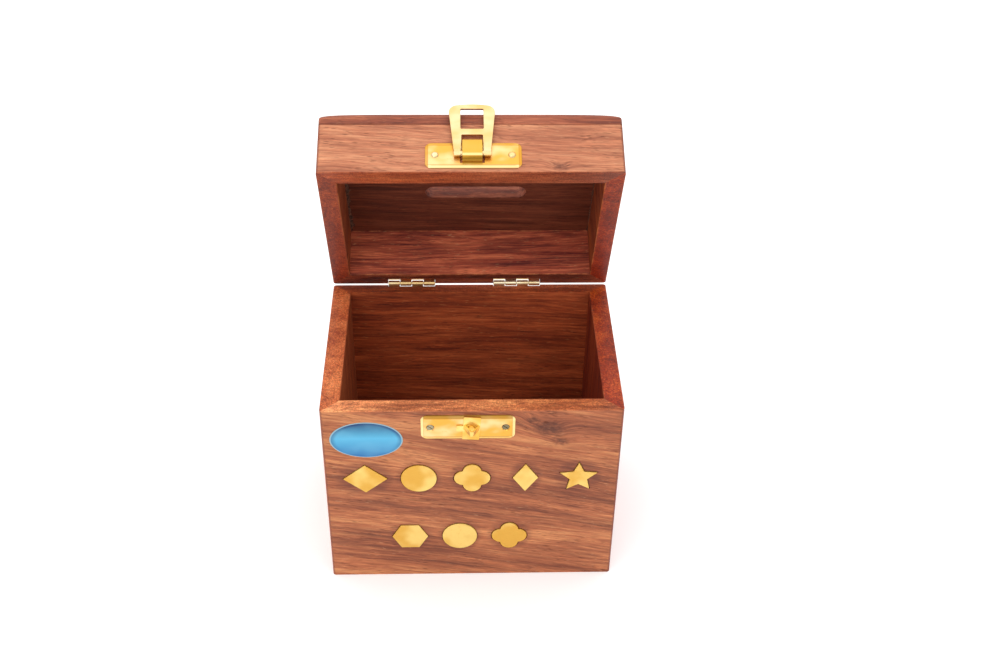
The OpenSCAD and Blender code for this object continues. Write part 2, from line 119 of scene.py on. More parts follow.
class Shade:  # an output socket with arithmetic
    def __init__(self, tree, socket):
        self.tree = tree
        self.socket = socket

    def node(self, kind, settings=None, inputs=None, out=0):
        made = self.tree.nodes.new(kind)
        for key, value in (settings or {}).items():
            if key == "stops":
                ramp = made.color_ramp
                while len(ramp.elements) < len(value):
                    ramp.elements.new(0.5)
                for element, (place, colour) in zip(ramp.elements, value):
                    element.position = place
                    element.color = (*colour, 1)
            else:
                setattr(made, key, value)
        for key, value in (inputs or {}).items():
            if isinstance(value, Shade):
                self.tree.links.new(value.socket, made.inputs[key])
            else:
                made.inputs[key].default_value = value
        return Shade(self.tree, made.outputs[out])

    def math(self, operation, first, second=0.0):
        return self.node("ShaderNodeMath", {"operation": operation}, {0: first, 1: second})

    def __add__(self, other):
        return self.math("ADD", self, other)

    def __sub__(self, other):
        return self.math("SUBTRACT", self, other)

    def __rsub__(self, other):
        return self.math("SUBTRACT", other, self)

    def __mul__(self, other):
        return self.math("MULTIPLY", self, other)

    def __truediv__(self, other):
        return self.math("DIVIDE", self, other)

    __radd__ = __add__
    __rmul__ = __mul__

    def smooth(self, low, high):  # 0 below low, 1 above high
        return self.node("ShaderNodeMapRange", {"interpolation_type": "SMOOTHSTEP"},
                         {0: self, 1: low, 2: high, 3: 0.0, 4: 1.0})

    def scaled(self, x, y, z):  # a vector times three numbers
        return self.node("ShaderNodeVectorMath", {"operation": "MULTIPLY"}, {0: self, 1: (x, y, z)})

    def moved(self, other):
        return self.node("ShaderNodeVectorMath", {"operation": "ADD"}, {0: self, 1: other})

    def part(self, axis):
        return self.node("ShaderNodeSeparateXYZ", {}, {0: self}, "XYZ".index(axis))

    def noise(self, detail=2.0, rough=0.5, warp=0.0, scale=1.0):
        return self.node("ShaderNodeTexNoise", {}, {
            "Vector": self, "Scale": scale, "Detail": detail, "Roughness": rough,
            "Distortion": warp})

    def mix(self, low, high, way="MIX"):  # colours, with this value as the factor
        return self.node("ShaderNodeMix", {"data_type": "RGBA", "blend_type": way},
                         {0: self, 6: rgba(low), 7: rgba(high)}, 2)

    def times(self, other):  # this colour multiplied by another colour or a value
        return self.node("ShaderNodeMix", {"data_type": "RGBA", "blend_type": "MULTIPLY"},
                         {0: 1.0, 6: self, 7: rgba(other)}, 2)

    def ramp(self, stops):
        return self.node("ShaderNodeValToRGB", {"stops": stops}, {0: self})


def rgba(colour):
    return colour if isinstance(colour, Shade) else (*colour, 1)


def rgb(*values):  # 0 to 255 display values as linear numbers
    return tuple(((v / 255 + 0.055) / 1.055) ** 2.4 if v > 10 else v / 255 / 12.92 for v in values)


def newMaterial(name):
    material = bpy.data.materials.new(name)
    material.use_nodes = True
    tree = material.node_tree
    tree.nodes.clear()
    shader = tree.nodes.new("ShaderNodeBsdfPrincipled")
    output = tree.nodes.new("ShaderNodeOutputMaterial")
    tree.links.new(shader.outputs[0], output.inputs[0])
    place = tree.nodes.new("ShaderNodeTexCoord")
    return material, shader, Shade(tree, place.outputs["Object"])


def plug(shader, **values):
    for name, value in values.items():
        socket = shader.inputs[name.replace("_", " ")]
        if isinstance(value, Shade):
            value.tree.links.new(value.socket, socket)
        else:
            socket.default_value = value


def bumped(height, strength, distance, under=None):  # a bump, on top of another one if given
    inputs = {"Height": height, "Strength": strength, "Distance": distance}
    if under:
        inputs["Normal"] = under
    return height.node("ShaderNodeBump", {}, inputs, "Normal")


# colours are display values, lengths are millimetres and lean is the grain's slope in degrees;
# inside, outside and rim multiply the colour on those faces, the rim from one end to the other; these factors are
# painted shade and light for how each face is lit;
# a knot is its place along and across the board and its size
woodLooks = {
    "boxFront": {"pale": (206, 132, 84), "mid": (178, 100, 62), "deep": (132, 66, 40),
                 "streak": (70, 34, 24), "band": 12, "streaks": 0.5, "lean": -11, "seed": 1.7,
                 "inside": (0.62, 0.53, 0.47), "outside": (0.98, 1.0, 0.98),
                 "rim": ((1.9, 2.2, 2.2), (0.95, 0.75, 0.55)), "sheen": 0.12,
                 "knots": ((35.0, 98.0, 6.0), (41.0, 90.0, 3.4), (28.0, 103.0, 2.4))},
    "boxBack": {"pale": (196, 104, 64), "mid": (166, 78, 44), "deep": (124, 50, 28),
                "streak": (72, 28, 20), "band": 10, "streaks": 0.5, "lean": 2, "seed": 5.1,
                "inside": (0.98, 0.82, 0.62),
                 "rim": ((0.9, 0.8, 0.7), (0.9, 0.8, 0.7)), "sheen": 0.12},
    "boxLeft": {"pale": (222, 128, 76), "mid": (202, 104, 56), "deep": (160, 70, 38),
                "streak": (110, 46, 26), "band": 9, "streaks": 0.25, "lean": 1, "seed": 9.4,
                "inside": (0.60, 0.52, 0.46),
                 "rim": ((1.0, 1.0, 0.9), (0.85, 0.75, 0.7)), "sheen": 0.12},
    "boxRight": {"pale": (200, 92, 44), "mid": (170, 62, 28), "deep": (128, 40, 20),
                 "streak": (88, 28, 16), "band": 9, "streaks": 0.25, "lean": -1, "seed": 12.9,
                 "inside": (0.60, 0.52, 0.46),
                 "rim": ((0.8, 0.7, 0.42), (0.88, 0.74, 0.45)), "sheen": 0.12},
    "lidFront": {"pale": (222, 146, 104), "mid": (204, 122, 84), "deep": (166, 88, 58),
                 "streak": (104, 52, 36), "band": 9, "streaks": 0.4, "lean": -4, "seed": 17.2,
                 "inside": (0.50, 0.43, 0.38), "outside": (0.87, 0.93, 0.95),
                 "rim": ((0.73, 0.38, 0.2), (0.46, 0.26, 0.2)), "sheen": 0.16,
                 "knots": ((40.0, 112.6, 3.0),)},
    "lidBack": {"pale": (196, 96, 66), "mid": (160, 68, 48), "deep": (112, 38, 30),
                "streak": (52, 20, 26), "band": 5.5, "streaks": 0.8, "lean": -1, "seed": 21.8,
                "inside": (1.38, 1.65, 1.6),
                 "rim": ((0.74, 0.85, 0.7), (0.74, 0.85, 0.7)), "sheen": 0.12},
    "lidLeft": {"pale": (190, 92, 54), "mid": (158, 68, 38), "deep": (118, 44, 26),
                "streak": (76, 30, 22), "band": 9, "streaks": 0.25, "lean": 1, "seed": 26.3,
                "inside": (0.76, 0.85, 0.66),
                 "rim": ((0.68, 0.54, 0.34), (0.68, 0.48, 0.4)), "sheen": 0.12},
    "lidRight": {"pale": (184, 84, 46), "mid": (150, 58, 30), "deep": (110, 36, 20),
                 "streak": (74, 26, 18), "band": 9, "streaks": 0.25, "lean": -2, "seed": 30.6,
                 "inside": (0.95, 1.2, 0.95),
                 "rim": ((0.88, 0.45, 0.2), (0.92, 0.68, 0.26)), "sheen": 0.12},
    "lidTop": {"pale": (190, 108, 76), "mid": (162, 82, 54), "deep": (118, 52, 36),
               "streak": (70, 30, 24), "band": 9, "streaks": 0.5, "lean": 2, "seed": 34.4,
               "inside": (0.42, 0.36, 0.32), "outside": (0.86, 0.86, 0.82), "sheen": 0.12},
    "bottom": {"pale": (184, 124, 84), "mid": (158, 100, 66), "deep": (124, 74, 48),
               "streak": (96, 56, 38), "band": 14, "streaks": 0.2, "lean": 1, "seed": 40.2,
               "inside": (1.00, 0.86, 0.76), "sheen": 0.0},
}


def woodPlace(place, look):  # coordinates laid along the grain, different for every board
    turned = place.node("ShaderNodeVectorRotate", {"rotation_type": "Z_AXIS"},
                        {"Vector": place, "Angle": -math.radians(look["lean"])})
    return turned.moved((look["seed"], look["seed"] * 0.37, look["seed"] * 0.61))


def knotField(grain, look, x, y, size):  # 1 at a knot's heart, fading outwards
    lean = math.radians(-look["lean"])
    cx, cy = x * mm, y * mm
    px = cx * math.cos(lean) - cy * math.sin(lean) + look["seed"]
    py = cx * math.sin(lean) + cy * math.cos(lean) + look["seed"] * 0.37
    dx = (grain.part("X") - px) / (size * mm * 1.6)
    dy = (grain.part("Y") - py) / (size * mm)
    reach = dx * dx + dy * dy
    return grain.math("EXPONENT", reach * -1.0)


woodCells = {  # mm across and along the grain
    "fibre": (0.42, 7), "hair": (0.95, 16), "pores": (0.62, 5.5), "poreGroups": (2.6, 14),
    "dust": (0.9, 5),
}
woodMarks = {"pore": (64, 28, 20), "dust": (236, 176, 128), "corner": (96, 42, 34),
             "lip": (222, 124, 78), "stain": (96, 44, 32)}


def stretched(course, step, length):  # cells length long and step wide
    along, across, depth = course
    return along.node("ShaderNodeCombineXYZ", {}, {
        0: along / (length * mm), 1: across / (step * mm), 2: depth / (step * mm)})


def grainCourse(grain, knots):  # along, across and into the grain, which wanders round knots
    drift = grain.scaled(6, 24, 24).noise(2, 0.5) - 0.5
    wander = grain.scaled(26, 95, 95).noise(2, 0.55) - 0.5
    along = grain.part("X")
    across = grain.part("Y") + drift * 0.014 + wander * 0.003
    depth = grain.part("Z") + drift * 0.009 + wander * 0.002
    for near, size in knots:
        across = across + near * (size * mm * 0.8)
    return along, across, depth


def nearFaces(place, low, high, width):  # for each axis, 1 close to either face
    near = []
    for axis, a, b in zip("XYZ", low, high):
        here = place.part(axis)
        near.append(here.smooth(b - width, b) + (1 - here.smooth(a, a + width)))
    return near


def withRim(colour, place, ends, low, high, upAxis, atTop):  # speckled end grain on the rim, with painted light and shade running along it from one end to the other
    here = place.part("XYZ"[upAxis])
    away = high[upAxis] - here if atTop else here - low[upAxis]
    onRim = 1 - away.smooth(0.1 * mm, 0.5 * mm)
    run = place.part("XYZ"[1 - upAxis]).smooth(low[1 - upAxis], high[1 - upAxis])
    speck = place.scaled(1300, 1300, 1300).noise(4, 0.9)
    mottle = place.scaled(150, 150, 150).noise(2, 0.5)
    # painted light and shade along the rim, from one end's factor to the other's
    colour = onRim.mix(colour, run.mix(*ends), "MULTIPLY")
    return onRim.mix(colour, speck * 3.4 + mottle * 0.3 - 0.85, "MULTIPLY")


def withHalos(colour, place, outside, halos):  # stain round the inlays
    for x, y, halfLength, halfHeight in halos:
        dx = (place.part("X") - x) / halfLength
        dy = (place.part("Y") - y) / halfHeight
        stain = 1 - (dx * dx + dy * dy).smooth(0.75, 1.7)
        colour = (stain * outside * 0.4).mix(colour, rgb(*woodMarks["stain"]))
    return colour


def woodMaterial(name, look, low, high, upAxis=1):
    material, shader, place = newMaterial("wood_" + name)
    grain = woodPlace(place, look)
    knots = [(knotField(grain, look, x, y, size), size) for x, y, size in look.get("knots", ())]
    course = grainCourse(grain, knots)
    band = look["band"]
    broad = stretched(course, band, band * 9).noise(3, 0.5)
    lines = stretched(course, band * 0.2, band * 5).noise(3, 0.62)
    fibre = stretched(course, *woodCells["fibre"]).noise(3, 0.7)
    hair = stretched(course, *woodCells["hair"]).noise(2, 0.6)
    tone = broad * 0.42 + lines * 0.34 + hair * 0.24
    colour = tone.ramp(((0.38, rgb(*look["deep"])), (0.5, rgb(*look["mid"])),
                        (0.61, rgb(*look["pale"]))))
    colour = colour.times(fibre * 1.3 + hair * 0.5 + 0.1)
    # narrow dark streaks
    vein = stretched(course, band * 0.55, band * 12).noise(2, 0.55)
    ridge = 1 - grain.math("ABSOLUTE", vein - 0.5) * 9.0
    veins = ridge.smooth(0.25, 1.0) * broad.smooth(0.62, 0.42)
    shade = vein.smooth(0.56, 0.76)
    colour = ((veins * 0.6 + shade) * look["streaks"]).mix(colour, rgb(*look["streak"]))
    # pores: short dashes along the grain, dots where the grain ends
    cell = stretched(course, *woodCells["pores"])
    spot = cell.node("ShaderNodeTexVoronoi", {}, {"Vector": cell, "Scale": 1.0}, 0)
    chance = stretched(course, *woodCells["poreGroups"]).noise(2, 0.6)
    pore = (1 - spot.smooth(0.12, 0.36)) * chance.smooth(0.44, 0.6)
    colour = (pore * 0.62).mix(colour, rgb(*woodMarks["pore"]))
    dust = stretched(course, *woodCells["dust"]).noise(2, 0.7)
    colour = (dust.smooth(0.6, 0.78) * 0.28).mix(colour, rgb(*woodMarks["dust"]))
    for near, size in knots:
        blot = near * (grain.scaled(500, 700, 500).noise(3, 0.6) * 1.5)
        colour = (blot.smooth(0.2, 0.9) * 0.75).mix(colour, rgb(*look["streak"]))
    if "rim" in look:  # at the top of the box's boards and the bottom of the lid's
        colour = withRim(colour, place, look["rim"], low, high, upAxis, name.startswith("box"))
    # darker upright corners and lighter lips
    near = nearFaces(place, low, high, 1.0 * mm)
    rub = place.scaled(240, 240, 240).noise(2, 0.6)
    corner = near[1 - upAxis] * near[2]
    lip = near[upAxis] * near[2]
    colour = (corner * (0.35 + rub * 0.5)).mix(colour, rgb(*woodMarks["corner"]))
    colour = (lip * rub.smooth(0.35, 0.7) * 0.45).mix(colour, rgb(*woodMarks["lip"]))
    inside = 1 - place.part("Z").smooth(low[2] + 0.1 * mm, low[2] + 0.7 * mm)
    outside = 1 - inside
    # painted shade and light: the inner and outer faces' colours are multiplied by the look's factors
    colour = inside.mix(colour, look["inside"], "MULTIPLY")
    if "outside" in look:
        colour = outside.mix(colour, look["outside"], "MULTIPLY")
    colour = withHalos(colour, place, outside, look.get("halos", ()))
    patches = place.scaled(38, 38, 38).noise(3, 0.55)
    colour = (patches.smooth(0.4, 0.75) * 0.22).mix(colour, rgb(*look["deep"]))
    rough = 0.42 + fibre * 0.14 + pore * 0.25 + inside * 0.2 + (corner + lip) * 0.08
    height = fibre * 0.3 + lines * 0.35 - pore * 1.1
    waves = place.scaled(60, 90, 90).noise(1, 0.4)
    plug(shader, Base_Color=colour, Roughness=rough,
         Normal=bumped(waves, 0.2, 0.0008, bumped(height, 0.45, 0.00014)),
         Coat_Weight=(1 - inside) * look["sheen"] * (1 - pore), Coat_Roughness=0.2,
         Specular_IOR_Level=0.28)
    return material


rawWood = {"light": (92, 54, 30), "dark": (40, 18, 12)}


def rawWoodMaterial(setup):  # the slot's cut edge
    material, shader, place = newMaterial("wood_cut_edge")
    fuzz = place.scaled(900, 900, 300).noise(3, 0.7)
    chips = place.scaled(300, 300, 300).noise(2, 0.6)
    colour = fuzz.smooth(0.3, 0.7).mix(rgb(*setup["dark"]), rgb(*setup["light"]))
    plug(shader, Base_Color=colour, Roughness=0.75 + fuzz * 0.15,
         Normal=bumped(fuzz * 0.5 + chips, 0.6, 0.0003), Specular_IOR_Level=0.2)
    return material


brassLooks = {
    "plate": {"bright": (250, 212, 150), "worn": (236, 176, 78), "rough": 0.24, "scratch": 0.12},
    "staple": {"bright": (253, 226, 144), "worn": (238, 186, 86), "rough": 0.24, "scratch": 0.12},
    "hasp": {"bright": (242, 217, 166), "worn": (232, 196, 128), "rough": 0.28, "scratch": 0.12},
    "hinge": {"bright": (255, 240, 200), "worn": (236, 200, 136), "rough": 0.26, "scratch": 0.12},
    "pin": {"bright": (250, 232, 190), "worn": (236, 204, 140), "rough": 0.24, "scratch": 0.08},
    "inlay": {"bright": (244, 212, 128), "worn": (228, 180, 84), "rough": 0.4, "scratch": 0.26},
    "steel": {"bright": (176, 166, 136), "worn": (140, 128, 100), "rough": 0.34, "scratch": 0.25},
}
# painted light and shade on a pressed plate's sloping edges, one tone for each slope: along the foot, the head and
# the ends
lidPlateSlopeLight = {"foot": (250, 222, 160), "head": (226, 168, 68), "ends": (206, 146, 50)}
boxPlateSlopeLight = {"foot": (250, 216, 128), "head": (176, 128, 54), "ends": (255, 232, 166)}
# painted shade and light on the brass: shade on sheet edges, in creases and along plate rims; on the strap a
# darker tone, a highlight on its crest and shade below
brassMarks = {"edgeShade": (196, 146, 66), "creaseShade": (170, 118, 44), "rim": (150, 100, 36),
              "strap": (222, 172, 68), "crestHighlight": (252, 228, 160), "under": (158, 112, 36)}


def shadedSheetEdges(colour, place):  # painted shade on the sheet's cut edges
    side = 1 - place.part("Z").smooth(0.2 * mm, 0.56 * mm)
    return (side * 0.8).mix(colour, rgb(*brassMarks["edgeShade"]))


def pressedEdgeShading(colour, place, edges, width, height):  # painted light and shade: each slope its own tone, with painted shade in the crease and along the outer edge
    low = place.part("Z").smooth(1.0 * mm, 0.6 * mm)
    sides = {"foot": place.part("Y") * -1.0, "head": place.part("Y"),
             "ends": place.math("ABSOLUTE", place.part("X"))}
    for side, reach in sides.items():
        half = (width if side == "ends" else height) / 2
        band = reach.smooth(half - 2.0 * mm, half - 1.5 * mm) * low
        creaseShade = band * (1 - band) * 2.2
        # each slope's painted tone for how it is lit, then painted shade in the crease and along the outer edge
        colour = (band * 0.75).mix(colour, rgb(*edges[side]))
        colour = creaseShade.mix(colour, rgb(*brassMarks["creaseShade"]))
        rimLine = reach.smooth(half - 0.4 * mm, half - 0.05 * mm) * low
        colour = (rimLine * 0.7).mix(colour, rgb(*brassMarks["rim"]))
    return colour


def strapLightAndShade(colour, place):  # painted light and shade on the strap over the hasp's bar: a darker tone over it, a painted highlight on its crest, painted shade below
    over = place.part("Z").smooth(0.9 * mm, 1.2 * mm)
    climb = place.part("Y") + 0.5 * mm
    crestHighlight = climb.smooth(-2.5 * mm, -2.0 * mm) * climb.smooth(-0.7 * mm, -1.6 * mm)
    under = climb.smooth(-2.1 * mm, -2.6 * mm)
    # painted tones on the strap: a darker painted shade over it, a painted highlight on the crest, painted shade
    # below
    colour = (over * 0.9).mix(colour, rgb(*brassMarks["strap"]))
    colour = (over * crestHighlight * 0.75).mix(colour, rgb(*brassMarks["crestHighlight"]))
    return (over * under * 0.9).mix(colour, rgb(*brassMarks["under"]))


def metalMaterial(name, look, paintShading=None):  # mark adds painted light and shade to the colour
    material, shader, place = newMaterial("metal_" + name)
    cloud = place.scaled(70, 110, 70).noise(2, 0.5)
    stain = place.scaled(420, 420, 420).noise(4, 0.65)
    lines = place.scaled(260, 5200, 5200).noise(2, 0.6)
    specks = place.scaled(2600, 2600, 2600).noise(1, 0.5)
    colour = cloud.smooth(0.34, 0.62).mix(rgb(*look["bright"]), rgb(*look["worn"]))
    colour = (stain.smooth(0.56, 0.78) * 0.5).mix(colour, rgb(*look["worn"]))
    if paintShading:
        colour = paintShading(colour, place)
    waves = place.scaled(150, 150, 150).noise(1, 0.4)
    grazes = bumped(lines * 0.4 + specks * 0.25, 0.12 + look["scratch"] * 0.3, 0.00006)
    plug(shader, Base_Color=colour, Metallic=1.0,
         Roughness=look["rough"] + lines * look["scratch"] + stain * 0.10,
         Normal=bumped(waves, 0.35, 0.0006, grazes))
    return material


labelLook = {"top": (2, 40, 96), "heart": (88, 182, 222), "foot": (20, 98, 166),
             "rim": (2, 48, 108), "line": (150, 180, 190), "sheen": (120, 196, 228)}


def labelMaterial(look, length, height):
    material, shader, place = newMaterial("label_gloss")
    x = place.part("X") / (length / 2)
    y = place.part("Y") / (height / 2)
    reach = x * x + y * y
    fall = (y * 0.5 + 0.5).ramp(((0.0, rgb(*look["foot"])), (0.55, rgb(*look["heart"])),
                                 (1.0, rgb(*look["top"]))))
    colour = (reach.smooth(0.66, 0.9) * (y * 0.5 + 0.5)).mix(fall, rgb(*look["rim"]))
    colour = reach.smooth(0.915, 0.945).mix(colour, rgb(*look["line"]))
    grain = place.scaled(900, 900, 900).noise(2, 0.6)
    sheen = place.scaled(60, 90, 90).noise(2, 0.5).smooth(0.4, 0.7) * 0.25
    colour = sheen.mix(colour, rgb(*look["sheen"]))
    plug(shader, Base_Color=colour, Roughness=0.26 + grain * 0.1, Coat_Weight=0.15,
         Specular_IOR_Level=0.3, Coat_Roughness=0.08, Normal=bumped(grain, 0.03, 0.00003))
    return material


glueLook = {"dark": (58, 34, 26), "light": (120, 78, 58)}


def glueMaterial(look):
    material, shader, place = newMaterial("dried_glue")
    dust = place.scaled(700, 700, 700).noise(3, 0.7)
    colour = dust.smooth(0.3, 0.7).mix(rgb(*look["dark"]), rgb(*look["light"]))
    plug(shader, Base_Color=colour, Roughness=0.68 + dust * 0.3, Specular_IOR_Level=0.25,
         Normal=bumped(dust, 0.6, 0.0003))
    return material


def addObject(name, mesh, matrix, material):
    made = bpy.data.objects.new(name, mesh)
    scene.collection.objects.link(made)
    made.matrix_world = matrix
    if material:
        mesh.materials.clear()
        mesh.materials.append(material)
    return made


def toMesh(name, shape, degrees=None):  # uses the bmesh up; softens edges below the angle
    mesh = bpy.data.meshes.new(name)
    shape.to_mesh(mesh)
    shape.free()
    if degrees:
        mesh.shade_smooth()
        mesh.set_sharp_from_angle(angle=math.radians(degrees))
    return mesh


def toShape(mesh):
    shape = bmesh.new()
    shape.from_mesh(mesh)
    return shape


def settle(piece, *nodes):  # rides with its node's body and takes the place of the nodes, which it hides
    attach(piece, nodeBody[nodes[0]])
    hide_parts(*nodes)


def nodeShape(node, into):  # a node's shape as a bmesh, in the space of the matrix into
    shape = toShape(frame["nodes"][node].data)
    bmesh.ops.transform(shape, matrix=into.inverted(), verts=shape.verts)
    bmesh.ops.remove_doubles(shape, verts=shape.verts, dist=2e-6)
    bmesh.ops.dissolve_limit(shape, angle_limit=math.radians(0.8), verts=shape.verts,
                             edges=shape.edges)
    bmesh.ops.recalc_face_normals(shape, faces=shape.faces)
    return shape


def sharpEdges(shape, degrees=25):
    limit = math.radians(degrees)
    return [e for e in shape.edges if len(e.link_faces) == 2 and e.calc_face_angle(0) > limit]


def easeEdges(shape, edges, width, steps=2):
    if edges:
        bmesh.ops.bevel(shape, geom=edges, offset=width, segments=steps, profile=0.5,
                        affect="EDGES", clamp_overlap=True)


def finishShape(name, shape, matrix, material, degrees):  # its normals keep flat faces flat
    made = addObject(name, toMesh(name, shape, degrees), matrix, material)
    weigh = made.modifiers.new("normals", "WEIGHTED_NORMAL")
    weigh.keep_sharp = True
    weigh.weight = 80
    return made


boards = {  # node: look, grain, width of the eased edges in mm
    "front_panel": ("boxFront", "front", 0.55),
    "back_panel": ("boxBack", "back", 0.5),
    "left_panel": ("boxLeft", "left", 0.55),
    "right_panel": ("boxRight", "right", 0.55),
    "bottom_panel": ("bottom", "top", 0.2),
    "lid_front_rail": ("lidFront", "front", 0.5),
    "lid_back_rail": ("lidBack", "back", 0.5),
    "lid_left_rail": ("lidLeft", "left", 0.5),
    "lid_right_rail": ("lidRight", "right", 0.5),
}
jointEase = 0.1  # mm, where two boards meet
# mm; the board falls by drop towards its ends, and by endDrop more beyond the share end
topBoard = {"ease": 0.25, "cuts": 28, "drop": 1.1, "endDrop": 0.8, "end": 0.9,
            "slotReach": (45, 30)}
seam = shutBox("lid_top_board")[0].z
hingeBoxes = [shutBox(side + "_hinge_box_leaf") for side in ("left", "right")]
same = 1e-5  # m, places closer than this are one


def middleOf(edge):
    return (edge.verts[0].co + edge.verts[1].co) / 2


def isGlued(edge):  # on a mitre
    return any(abs(f.normal.x) > 0.4 and abs(f.normal.y) > 0.4 for f in edge.link_faces)


def isInRecess(edge):  # of a hinge
    middle = middleOf(edge)
    beside = any(low.x - 0.2 * mm < middle.x < high.x + 0.2 * mm for low, high in hingeBoxes)
    return beside and middle.y > boxHigh.y - 6 * mm and abs(middle.z - lidPin.z) < 11 * mm \
        and edge.calc_length() < 25 * mm


def staysCrisp(edge, node):  # joints, and what is cut for metal parts
    middle = middleOf(edge)
    onSeam = nodeBody[node] == "lid" and abs(middle.z - seam) < same
    atCorner = abs(middle.x) > boxHigh.x - 2 * mm and abs(middle.y) > boxHigh.y - 2 * mm
    small = edge.calc_length() < 6 * mm and not atCorner
    pocket = node == "front_panel" and middle.y < frontY + 2 * mm \
        and 10 * mm < middle.z < 80 * mm and abs(middle.x) < 66 * mm
    return isGlued(edge) or onSeam or pocket or small or isInRecess(edge)


def isAtBackJoint(edge):  # the edges that nearly touch when the lid is open
    middle = middleOf(edge)
    return abs(middle.y - boxHigh.y) < same and abs(middle.z - boxHigh.z) < 1 * mm \
        and abs(edge.verts[0].co.x - edge.verts[1].co.x) > 5 * mm


def makeBoard(node, lookName, grain, ease):
    turn = turnOf(node)
    shape = nodeShape(node, turn)
    outer = [e for e in sharpEdges(shape) if not staysCrisp(e, node)]
    if node == "lid_back_rail":  # its rim face bends in around the hinges, so it is split first
        bmesh.ops.connect_verts_concave(shape, faces=[f for f in shape.faces if len(f.verts) > 4])
    easeEdges(shape, [e for e in outer if not isAtBackJoint(e)], ease * mm, 3)
    easeEdges(shape, sharpEdges(shape, 40), jointEase * mm, 1)
    grainTurn = grainFrames[grain].to_4x4()
    bmesh.ops.transform(shape, matrix=grainTurn.inverted(), verts=shape.verts)
    low, high = shapeBounds(shape)
    upAxis = 0 if grain in ("left", "right") else 1
    wood = woodMaterial(lookName, woodLooks[lookName], low, high, upAxis)
    settle(finishShape(node + "_wood", shape, turn @ grainTurn, wood, 30), node)


def shapeBounds(shape):
    places = [v.co for v in shape.verts]
    return ([min(p[i] for p in places) for i in range(3)],
            [max(p[i] for p in places) for i in range(3)])


def makeTopBoard():
    node = "lid_top_board"
    low, high = shutBox(node)
    shape = nodeShape(node, lidTurn)
    t = topBoard
    easeEdges(shape, sharpEdges(shape, 50), t["ease"] * mm, 2)
    for i in range(1, t["cuts"]):  # planes across the board let it bend
        x = low.x + (high.x - low.x) * i / t["cuts"]
        geometry = shape.verts[:] + shape.edges[:] + shape.faces[:]
        bmesh.ops.bisect_plane(shape, geom=geometry, plane_co=(x, 0, 0), plane_no=(1, 0, 0))
    thick = high.z - low.z
    for vert in shape.verts:
        lift = (vert.co.z - low.z) / thick
        side = abs(vert.co.x - (low.x + high.x) / 2) / ((high.x - low.x) / 2)
        end = max(0.0, side - t["end"]) / (1 - t["end"])
        vert.co.z -= (t["drop"] * side ** 7 + t["endDrop"] * end ** 2) * mm * lift
    reachX, reachY = t["slotReach"]
    for face in shape.faces:
        middle = face.calc_center_median()
        nearSlot = abs(middle.x) < reachX * mm and abs(middle.y) < reachY * mm
        if nearSlot and abs(face.normal.z) < 0.5:  # the slot's wall
            face.material_index = 1
    wood = woodMaterial("lidTop", woodLooks["lidTop"], low, high)
    board = finishShape(node + "_wood", shape, lidTurn, wood, 30)
    board.data.materials.append(rawWoodMaterial(rawWood))
    settle(board, node)


halos = []  # dark stain in the wood round each inlay, in the front board's own space
for node in frame["nodes"]:
    if node.startswith("inlay"):
        low, high = shutBox(node)
        halos.append(((low.x + high.x) / 2, (low.z + high.z) / 2,
                      (high.x - low.x) / 2 + 0.6 * mm, (high.z - low.z) / 2 + 0.6 * mm))
woodLooks["boxFront"]["halos"] = halos

for node, (lookName, grain, ease) in boards.items():
    makeBoard(node, lookName, grain, ease)
makeTopBoard()
print("boards made")

softCopies = {  # node: metal, width of the eased edges in mm
    "staple_plate_screws": ("steel", 0.08),
    "staple_rivet": ("staple", 0.18),
    "hasp_plate_pins": ("pin", 0.05),
    "left_hinge_box_leaf": ("hinge", 0.14),
    "left_hinge_lid_leaf": ("hinge", 0.14),
    "left_hinge_pin": ("hinge", 0.15),
    "right_hinge_box_leaf": ("hinge", 0.14),
    "right_hinge_lid_leaf": ("hinge", 0.14),
    "right_hinge_pin": ("hinge", 0.15),
    "hinge_box_screws": ("hinge", 0.08),
    "hinge_lid_screws": ("hinge", 0.08),
}
inlayEase = 0.22
sunkScrews = {"share": 0.8, "depth": 0.3}  # size beside the CAD heads; mm below the plate
# the hasp's metal gets painted shade on its edges
metals = {name: metalMaterial(name, look, shadedSheetEdges if name == "hasp" else None)
          for name, look in brassLooks.items()}


def makeSoftCopy(node, metal, ease):
    turn = turnOf(node)
    shape = nodeShape(node, turn)
    easeEdges(shape, sharpEdges(shape, 35), ease * mm, 2)
    copy = finishShape(node + "_metal", shape, turn, metals[metal], 35)
    settle(copy, node)
    return copy


def sinkScrews(copy, share, depth):  # the heads sit a little below the plate, in their cones
    low, high = shutBox("staple_plate_screws")
    gap = high.x - low.x - (high.z - low.z)
    centre = sum((v.co for v in copy.data.vertices), Vector()) / len(copy.data.vertices)
    for vert in copy.data.vertices:
        axisX = centre.x + math.copysign(gap / 2, vert.co.x - centre.x)
        vert.co.x = axisX + (vert.co.x - axisX) * share
        vert.co.z = centre.z + (vert.co.z - centre.z) * share
        vert.co.y += depth * mm


for node, (metal, ease) in softCopies.items():
    copy = makeSoftCopy(node, metal, ease)
    if node == "staple_plate_screws":
        sinkScrews(copy, **sunkScrews)
for node in frame["nodes"]:
    if node.startswith("inlay"):
        makeSoftCopy(node, "inlay", inlayEase)
print("small metal parts made")


def roundedOutline(width, height, radius, bow=0.0, steps=6):  # anticlockwise, centred
    points = []
    for cx, cy, start in ((1, 1, 0), (-1, 1, 90), (-1, -1, 180), (1, -1, 270)):
        for i in range(steps + 1):
            a = math.radians(start + 90 * i / steps)
            x = cx * (width / 2 - radius) + radius * math.cos(a)
            y = cy * (height / 2 - radius) + radius * math.sin(a)
            points.append((x, y))
    if bow:  # the short ends bulge outwards
        half = height / 2
        points = [(x - math.copysign(bow * (y / half) ** 2, x), y) for x, y in points]
    return points


